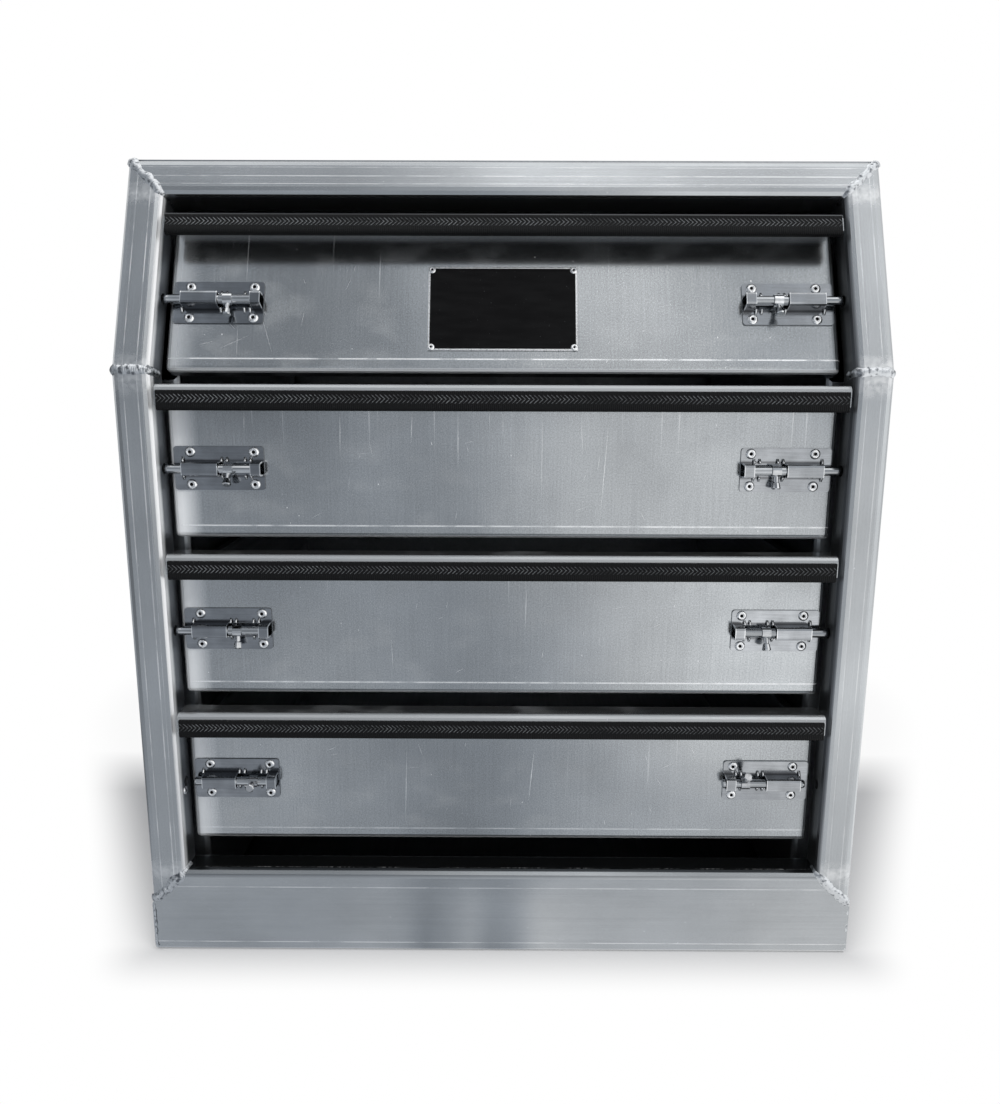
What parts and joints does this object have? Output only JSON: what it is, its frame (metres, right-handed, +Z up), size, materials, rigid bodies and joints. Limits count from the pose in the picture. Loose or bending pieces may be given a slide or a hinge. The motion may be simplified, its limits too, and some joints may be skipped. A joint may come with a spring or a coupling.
{
  "type": "ute toolbox",
  "caption": "Aluminium ute toolbox with a welded tube front that leans back at the top, full-width drawers with grip lips, and barrel bolts that lock each drawer front.",
  "frame": {"origin": "middle of the floor panel's underside, with the cabinet's width along X and its depth along Y", "axes": "+Z up, drawers open towards -Y, +X to the right of someone facing the drawers"},
  "size_m": [0.75, 0.6033, 0.827],
  "materials": {
    "frame_aluminium": "brushed extruded tube, welded",
    "skin_aluminium": "mill finish sheet",
    "drawer_aluminium": "vertically brushed sheet",
    "slide_zinc": "bright zinc plate",
    "bolt_stainless": "satin pressed sheet",
    "rod_stainless": "polished",
    "knob_stainless": "polished",
    "grip_rubber": "matt, woven texture",
    "plate_black": "satin black, blank"
  },
  "bodies": {
    "cabinet": {"front_stile_lower_left": "frame_aluminium", "front_stile_lower_right": "frame_aluminium", "front_stile_upper_left": "frame_aluminium", "front_stile_upper_right": "frame_aluminium", "front_top_rail": "frame_aluminium", "front_bottom_rail": "frame_aluminium", "side_panel_left": "skin_aluminium", "side_panel_right": "skin_aluminium", "back_panel": "skin_aluminium", "roof_panel": "skin_aluminium", "floor_panel": "skin_aluminium", "slide_carrier_left": "skin_aluminium", "slide_carrier_right": "skin_aluminium"},
    "drawer_1": {"drawer_1_front": "drawer_aluminium", "drawer_1_grip": "grip_rubber", "drawer_1_box": "drawer_aluminium", "drawer_1_bolt_left_body": "bolt_stainless", "drawer_1_bolt_right_body": "bolt_stainless", "name_plate": "plate_black"},
    "drawer_1_middle_slides": {"drawer_1_slide_left": "slide_zinc", "drawer_1_slide_right": "slide_zinc"},
    "drawer_1_bolt_left_rod": {"drawer_1_bolt_left_rod": "rod_stainless"},
    "drawer_1_bolt_left_knob": {"drawer_1_bolt_left_knob": "knob_stainless"},
    "drawer_1_bolt_right_rod": {"drawer_1_bolt_right_rod": "rod_stainless"},
    "drawer_1_bolt_right_knob": {"drawer_1_bolt_right_knob": "knob_stainless"},
    "drawer_2": {"drawer_2_front": "drawer_aluminium", "drawer_2_grip": "grip_rubber", "drawer_2_box": "drawer_aluminium", "drawer_2_bolt_left_body": "bolt_stainless", "drawer_2_bolt_right_body": "bolt_stainless"},
    "drawer_2_middle_slides": {"drawer_2_slide_left": "slide_zinc", "drawer_2_slide_right": "slide_zinc"},
    "drawer_2_bolt_left_rod": {"drawer_2_bolt_left_rod": "rod_stainless"},
    "drawer_2_bolt_left_knob": {"drawer_2_bolt_left_knob": "knob_stainless"},
    "drawer_2_bolt_right_rod": {"drawer_2_bolt_right_rod": "rod_stainless"},
    "drawer_2_bolt_right_knob": {"drawer_2_bolt_right_knob": "knob_stainless"},
    "drawer_3": {"drawer_3_front": "drawer_aluminium", "drawer_3_grip": "grip_rubber", "drawer_3_box": "drawer_aluminium", "drawer_3_bolt_left_body": "bolt_stainless", "drawer_3_bolt_right_body": "bolt_stainless"},
    "drawer_3_middle_slides": {"drawer_3_slide_left": "slide_zinc", "drawer_3_slide_right": "slide_zinc"},
    "drawer_3_bolt_left_rod": {"drawer_3_bolt_left_rod": "rod_stainless"},
    "drawer_3_bolt_left_knob": {"drawer_3_bolt_left_knob": "knob_stainless"},
    "drawer_3_bolt_right_rod": {"drawer_3_bolt_right_rod": "rod_stainless"},
    "drawer_3_bolt_right_knob": {"drawer_3_bolt_right_knob": "knob_stainless"},
    "drawer_4": {"drawer_4_front": "drawer_aluminium", "drawer_4_grip": "grip_rubber", "drawer_4_box": "drawer_aluminium", "drawer_4_bolt_left_body": "bolt_stainless", "drawer_4_bolt_right_body": "bolt_stainless"},
    "drawer_4_middle_slides": {"drawer_4_slide_left": "slide_zinc", "drawer_4_slide_right": "slide_zinc"},
    "drawer_4_bolt_left_rod": {"drawer_4_bolt_left_rod": "rod_stainless"},
    "drawer_4_bolt_left_knob": {"drawer_4_bolt_left_knob": "knob_stainless"},
    "drawer_4_bolt_right_rod": {"drawer_4_bolt_right_rod": "rod_stainless"},
    "drawer_4_bolt_right_knob": {"drawer_4_bolt_right_knob": "knob_stainless"}
  },
  "joints": [
    {"name": "drawer_1_slide", "type": "slide", "parent": "cabinet", "child": "drawer_1", "axis": [0, -1, 0], "range_m": [0, 0.45]},
    {"name": "drawer_1_middle_slides_travel", "type": "slide", "parent": "cabinet", "child": "drawer_1_middle_slides", "axis": [0, -1, 0], "range_m": [0, 0.225]},
    {"name": "drawer_1_bolt_left_draw", "type": "slide", "parent": "drawer_1", "child": "drawer_1_bolt_left_rod", "axis": [1, 0, 0], "range_m": [-0.0045, 0.0175]},
    {"name": "drawer_1_bolt_left_turn", "type": "hinge", "parent": "drawer_1_bolt_left_rod", "child": "drawer_1_bolt_left_knob", "pos_m": [-0.2725, -0.24988, 0.68891], "axis": [-1, 0, 0], "range_deg": [-10, 170]},
    {"name": "drawer_1_bolt_right_draw", "type": "slide", "parent": "drawer_1", "child": "drawer_1_bolt_right_rod", "axis": [-1, 0, 0], "range_m": [-0.0045, 0.0175]},
    {"name": "drawer_1_bolt_right_turn", "type": "hinge", "parent": "drawer_1_bolt_right_rod", "child": "drawer_1_bolt_right_knob", "pos_m": [0.2725, -0.24988, 0.68891], "axis": [-1, 0, 0], "range_deg": [-20, 160]},
    {"name": "drawer_2_slide", "type": "slide", "parent": "cabinet", "child": "drawer_2", "axis": [0, -1, 0], "range_m": [0, 0.45]},
    {"name": "drawer_2_middle_slides_travel", "type": "slide", "parent": "cabinet", "child": "drawer_2_middle_slides", "axis": [0, -1, 0], "range_m": [0, 0.225]},
    {"name": "drawer_2_bolt_left_draw", "type": "slide", "parent": "drawer_2", "child": "drawer_2_bolt_left_rod", "axis": [1, 0, 0], "range_m": [-0.0045, 0.0175]},
    {"name": "drawer_2_bolt_left_turn", "type": "hinge", "parent": "drawer_2_bolt_left_rod", "child": "drawer_2_bolt_left_knob", "pos_m": [-0.2725, -0.2788, 0.5233], "axis": [-1, 0, 0], "range_deg": [-35, 145]},
    {"name": "drawer_2_bolt_right_draw", "type": "slide", "parent": "drawer_2", "child": "drawer_2_bolt_right_rod", "axis": [-1, 0, 0], "range_m": [-0.0045, 0.0175]},
    {"name": "drawer_2_bolt_right_turn", "type": "hinge", "parent": "drawer_2_bolt_right_rod", "child": "drawer_2_bolt_right_knob", "pos_m": [0.2725, -0.2788, 0.5233], "axis": [-1, 0, 0], "range_deg": [-12, 168]},
    {"name": "drawer_3_slide", "type": "slide", "parent": "cabinet", "child": "drawer_3", "axis": [0, -1, 0], "range_m": [0, 0.45]},
    {"name": "drawer_3_middle_slides_travel", "type": "slide", "parent": "cabinet", "child": "drawer_3_middle_slides", "axis": [0, -1, 0], "range_m": [0, 0.225]},
    {"name": "drawer_3_bolt_left_draw", "type": "slide", "parent": "drawer_3", "child": "drawer_3_bolt_left_rod", "axis": [1, 0, 0], "range_m": [-0.0045, 0.0175]},
    {"name": "drawer_3_bolt_left_turn", "type": "hinge", "parent": "drawer_3_bolt_left_rod", "child": "drawer_3_bolt_left_knob", "pos_m": [-0.2725, -0.2788, 0.3559], "axis": [-1, 0, 0], "range_deg": [-12, 168]},
    {"name": "drawer_3_bolt_right_draw", "type": "slide", "parent": "drawer_3", "child": "drawer_3_bolt_right_rod", "axis": [-1, 0, 0], "range_m": [-0.0045, 0.0175]},
    {"name": "drawer_3_bolt_right_turn", "type": "hinge", "parent": "drawer_3_bolt_right_rod", "child": "drawer_3_bolt_right_knob", "pos_m": [0.2725, -0.2788, 0.3559], "axis": [-1, 0, 0], "range_deg": [-24, 156]},
    {"name": "drawer_4_slide", "type": "slide", "parent": "cabinet", "child": "drawer_4", "axis": [0, -1, 0], "range_m": [0, 0.45]},
    {"name": "drawer_4_middle_slides_travel", "type": "slide", "parent": "cabinet", "child": "drawer_4_middle_slides", "axis": [0, -1, 0], "range_m": [0, 0.225]},
    {"name": "drawer_4_bolt_left_draw", "type": "slide", "parent": "drawer_4", "child": "drawer_4_bolt_left_rod", "axis": [1, 0, 0], "range_m": [-0.0125, 0.0095]},
    {"name": "drawer_4_bolt_left_turn", "type": "hinge", "parent": "drawer_4_bolt_left_rod", "child": "drawer_4_bolt_left_knob", "pos_m": [-0.2645, -0.2788, 0.1885], "axis": [-1, 0, 0], "range_deg": [-90, 90]},
    {"name": "drawer_4_bolt_right_draw", "type": "slide", "parent": "drawer_4", "child": "drawer_4_bolt_right_rod", "axis": [-1, 0, 0], "range_m": [-0.0165, 0.0055]},
    {"name": "drawer_4_bolt_right_turn", "type": "hinge", "parent": "drawer_4_bolt_right_rod", "child": "drawer_4_bolt_right_knob", "pos_m": [0.2605, -0.2788, 0.1885], "axis": [-1, 0, 0], "range_deg": [-138, 42]}
  ],
  "couplings": [
    {"joint": "drawer_1_middle_slides_travel", "follows": "drawer_1_slide", "ratio": 0.5},
    {"joint": "drawer_2_middle_slides_travel", "follows": "drawer_2_slide", "ratio": 0.5},
    {"joint": "drawer_3_middle_slides_travel", "follows": "drawer_3_slide", "ratio": 0.5},
    {"joint": "drawer_4_middle_slides_travel", "follows": "drawer_4_slide", "ratio": 0.5}
  ]
}
